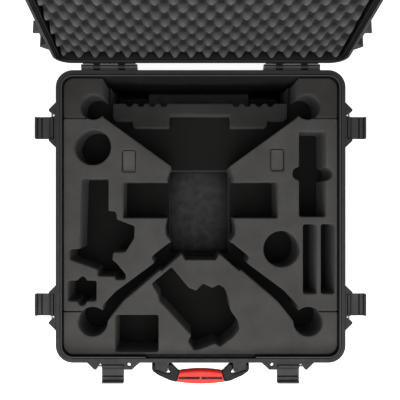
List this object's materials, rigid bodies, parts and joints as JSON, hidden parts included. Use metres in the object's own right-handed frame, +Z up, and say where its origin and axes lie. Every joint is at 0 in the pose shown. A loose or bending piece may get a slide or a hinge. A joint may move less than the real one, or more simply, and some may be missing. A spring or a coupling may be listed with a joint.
{
  "type": "drone carrying case",
  "caption": "Wheeled square hard case, lid open, with cut-out foam tray, egg-crate lid foam, flip latches, red carrying handle and pull-out trolley handle.",
  "frame": {"origin": "middle of the case's underside, on the floor it stands on", "axes": "+X to the right, +Y towards the hinges, +Z up; -Y faces the carrying handle"},
  "size_m": [0.698, 0.8865, 0.8878],
  "materials": {
    "shell_plastic": "satin",
    "latch_plastic": "satin",
    "handle_plastic": "satin",
    "grip_red": "satin",
    "valve_plastic": "matte",
    "steel_pin": "satin",
    "trolley_aluminium": "satin",
    "foot_rubber": "matte",
    "wheel_rubber": "matte",
    "seal_rubber": "satin",
    "tray_foam": "matte",
    "lid_foam": "matte"
  },
  "bodies": {
    "base": {"base_shell": "shell_plastic", "hinge_pins": "steel_pin", "latch_pins": "steel_pin", "handle_pins": "steel_pin", "wheel_axles": "steel_pin", "rubber_feet": "foot_rubber", "pressure_valve": "valve_plastic", "trolley_cover": "shell_plastic", "cover_screws": "steel_pin", "trolley_guides": "trolley_aluminium", "trolley_clamp_front": "handle_plastic", "trolley_clamp_rear": "handle_plastic", "foam_left": "tray_foam", "foam_right": "tray_foam", "foam_front": "tray_foam", "foam_corner_left": "tray_foam", "foam_corner_right": "tray_foam", "foam_comb": "tray_foam", "foam_lower": "tray_foam", "foam_filler_left": "tray_foam", "foam_filler_right": "tray_foam", "foam_plug_left": "tray_foam", "foam_plug_right": "tray_foam"},
    "lid": {"lid_shell": "shell_plastic", "lid_seal": "seal_rubber", "lid_foam_backing": "lid_foam", "lid_foam_eggcrate": "lid_foam"},
    "handle": {"handle_frame": "handle_plastic", "handle_grip": "grip_red"},
    "wheel_left": {"wheel_left_tyre": "wheel_rubber", "wheel_left_hub": "handle_plastic"},
    "wheel_right": {"wheel_right_tyre": "wheel_rubber", "wheel_right_hub": "handle_plastic"},
    "trolley": {"trolley_rods": "trolley_aluminium", "trolley_pull": "handle_plastic"},
    "trolley_button": {"trolley_button": "grip_red"},
    "latch_left_rear": {"latch_left_rear": "latch_plastic"},
    "latch_left_front": {"latch_left_front": "latch_plastic"},
    "latch_right_rear": {"latch_right_rear": "latch_plastic"},
    "latch_right_front": {"latch_right_front": "latch_plastic"},
    "latch_front_left": {"latch_front_left": "latch_plastic"},
    "latch_front_right": {"latch_front_right": "latch_plastic"}
  },
  "joints": [
    {"name": "lid_hinge", "type": "hinge", "parent": "base", "child": "lid", "pos_m": [0, 0.3135, 0.2663], "axis": [1, 0, 0], "range_deg": [0, 101]},
    {"name": "handle_pivot", "type": "hinge", "parent": "base", "child": "handle", "pos_m": [0, -0.315, 0.256], "axis": [1, 0, 0], "range_deg": [0, 78]},
    {"name": "wheel_left_spin", "type": "hinge", "parent": "base", "child": "wheel_left", "pos_m": [-0.215, 0.27, 0.033], "axis": [1, 0, 0], "continuous": true},
    {"name": "wheel_right_spin", "type": "hinge", "parent": "base", "child": "wheel_right", "pos_m": [0.215, 0.27, 0.033], "axis": [1, 0, 0], "continuous": true},
    {"name": "trolley_slide", "type": "slide", "parent": "base", "child": "trolley", "axis": [0, -1, 0], "range_m": [0, 0.38]},
    {"name": "trolley_button_press", "type": "slide", "parent": "trolley", "child": "trolley_button", "axis": [0, 1, 0], "range_m": [0, 0.003], "stiffness_N_per_m": 600},
    {"name": "latch_left_rear_swing", "type": "hinge", "parent": "base", "child": "latch_left_rear", "pos_m": [-0.312, 0.186, 0.258], "axis": [0, 1, 0], "range_deg": [0, 90]},
    {"name": "latch_left_front_swing", "type": "hinge", "parent": "base", "child": "latch_left_front", "pos_m": [-0.312, -0.186, 0.258], "axis": [0, 1, 0], "range_deg": [0, 90]},
    {"name": "latch_right_rear_swing", "type": "hinge", "parent": "base", "child": "latch_right_rear", "pos_m": [0.312, 0.186, 0.258], "axis": [0, -1, 0], "range_deg": [0, 90]},
    {"name": "latch_right_front_swing", "type": "hinge", "parent": "base", "child": "latch_right_front", "pos_m": [0.312, -0.186, 0.258], "axis": [0, -1, 0], "range_deg": [0, 90]},
    {"name": "latch_front_left_swing", "type": "hinge", "parent": "base", "child": "latch_front_left", "pos_m": [-0.1845, -0.315, 0.258], "axis": [-1, 0, 0], "range_deg": [0, 90]},
    {"name": "latch_front_right_swing", "type": "hinge", "parent": "base", "child": "latch_front_right", "pos_m": [0.1845, -0.315, 0.258], "axis": [-1, 0, 0], "range_deg": [0, 90]}
  ]
}
